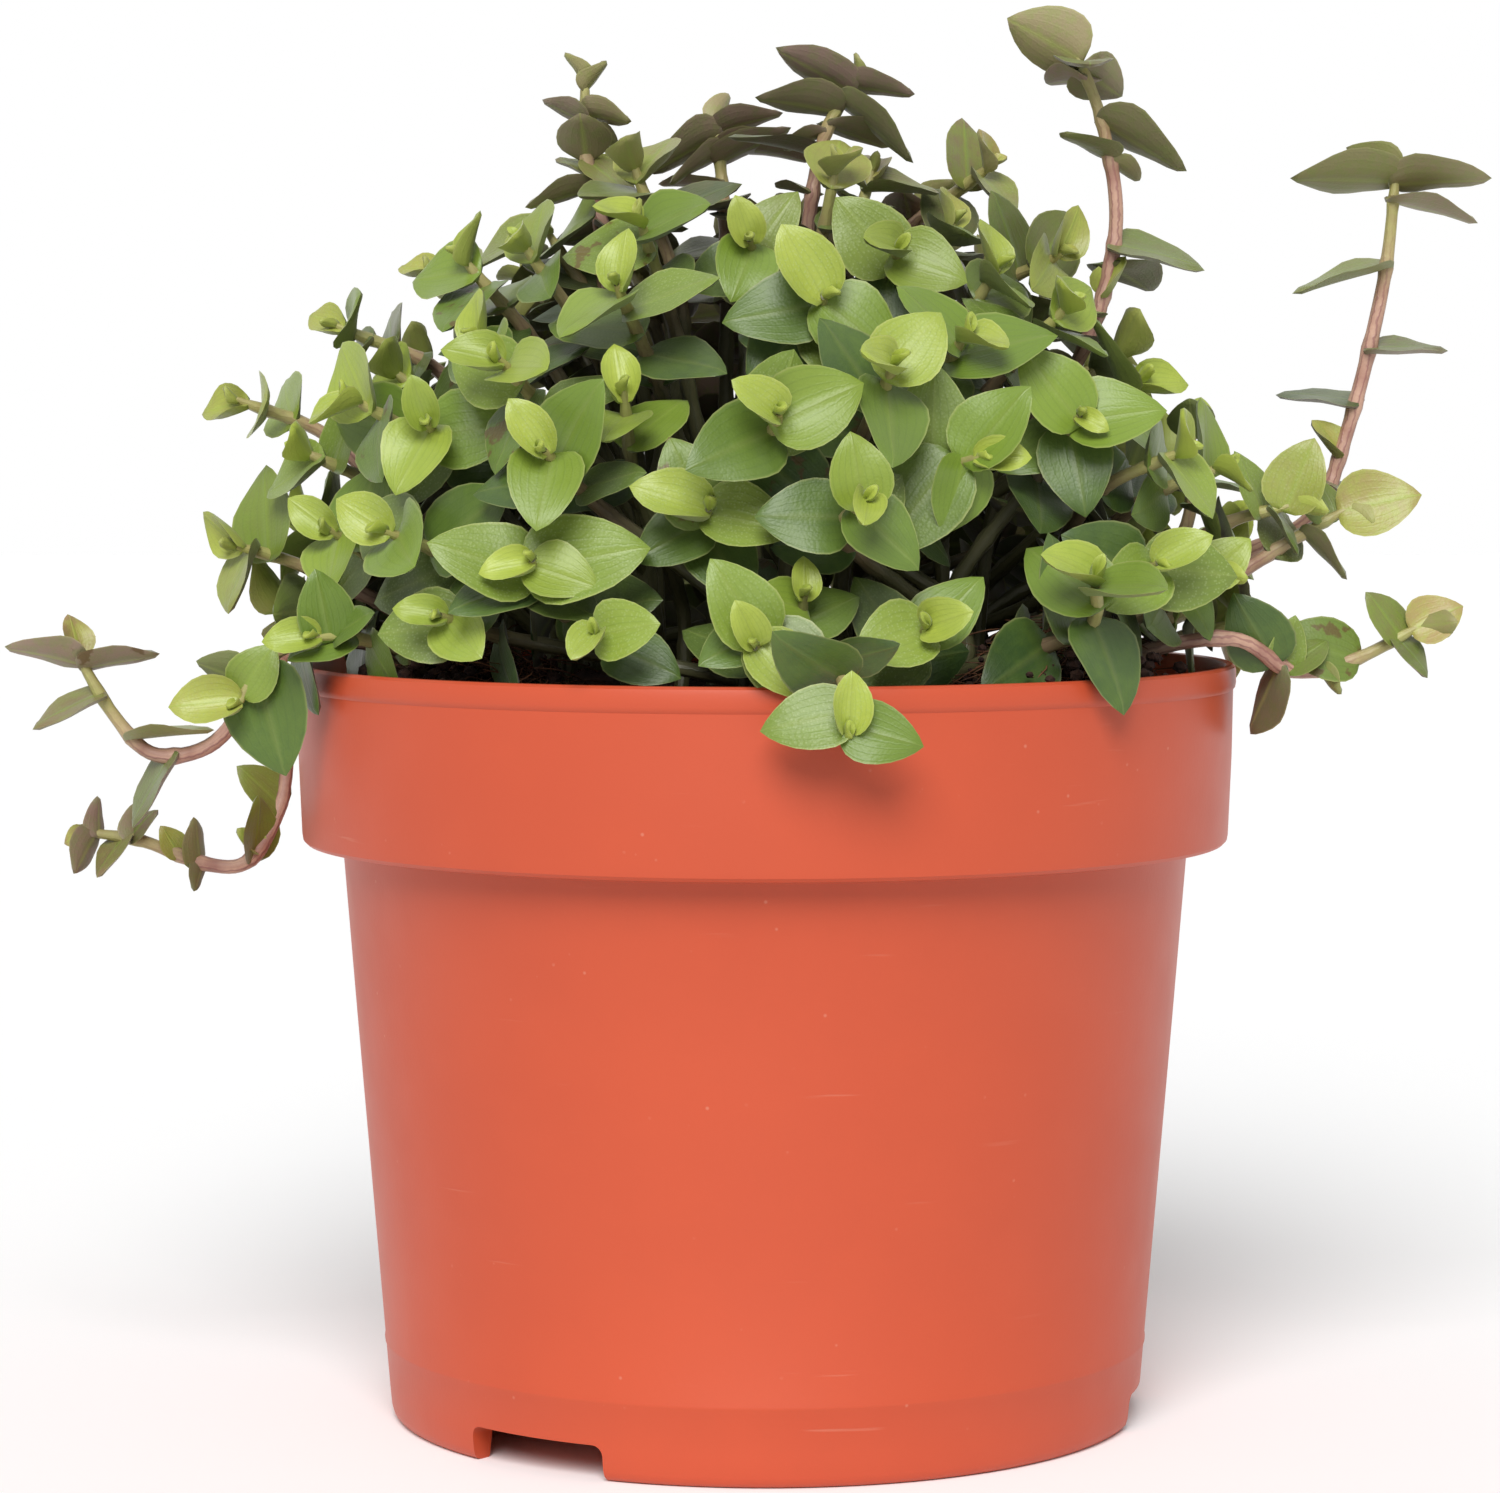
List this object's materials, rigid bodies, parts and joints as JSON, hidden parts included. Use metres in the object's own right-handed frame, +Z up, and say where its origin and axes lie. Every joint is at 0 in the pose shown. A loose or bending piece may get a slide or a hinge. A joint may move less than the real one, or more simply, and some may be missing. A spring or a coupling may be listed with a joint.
{
  "type": "potted trailing houseplant",
  "caption": "Mound-shaped turtle vine with small oval leaves, upright and trailing shoots, growing in a round plastic nursery pot",
  "frame": {"origin": "middle of the pot's underside, where it stands on a table", "axes": "+Z up along the pot's axis; the pot's front, with one foot notch left of the middle, faces -Y; +X to the right seen from the front"},
  "size_m": [0.1898, 0.1351, 0.1811],
  "materials": {
    "pot_plastic": "satin injection-moulded polypropylene in terracotta orange, with faint scuffs",
    "soil": "damp dark peat with brown coir fibres",
    "foliage": "soft waxy leaves, deep green to lime above and purple-bronze below, on pinkish brown jointed stems"
  },
  "bodies": {
    "root": {"pot": "pot_plastic", "potting_soil": "soil", "mound_01": "foliage", "mound_02": "foliage", "mound_03": "foliage", "mound_04": "foliage", "mound_05": "foliage", "mound_06": "foliage", "mound_07": "foliage", "mound_08": "foliage", "mound_09": "foliage", "mound_10": "foliage", "mound_11": "foliage", "mound_12": "foliage", "front_overhang": "foliage", "mound_13": "foliage", "front_drooping": "foliage", "left_overhang": "foliage", "left_drooping": "foliage", "mound_14": "foliage", "mound_15": "foliage", "mound_16": "foliage", "mound_17": "foliage", "mound_18": "foliage", "upright_left": "foliage", "upright_back": "foliage", "upright_middle": "foliage", "mound_19": "foliage", "mound_20": "foliage", "upright_right": "foliage", "upright_far_right": "foliage", "upright_short": "foliage", "right_leaning": "foliage", "right_rising": "foliage", "right_low": "foliage", "trailing_right": "foliage", "trailing_left": "foliage", "trailing_left_low": "foliage", "front_low": "foliage", "outer_clump_1": "foliage", "outer_clump_4": "foliage", "outer_clump_2": "foliage", "outer_clump_3": "foliage", "outer_clump_6": "foliage", "outer_clump_5": "foliage", "outer_clump_8": "foliage", "outer_clump_7": "foliage", "inner_clump_6": "foliage", "inner_clump_7": "foliage", "inner_clump_8": "foliage", "inner_clump_1": "foliage", "inner_clump_2": "foliage", "inner_clump_5": "foliage", "inner_clump_3": "foliage", "inner_clump_4": "foliage"}
  },
  "joints": []
}
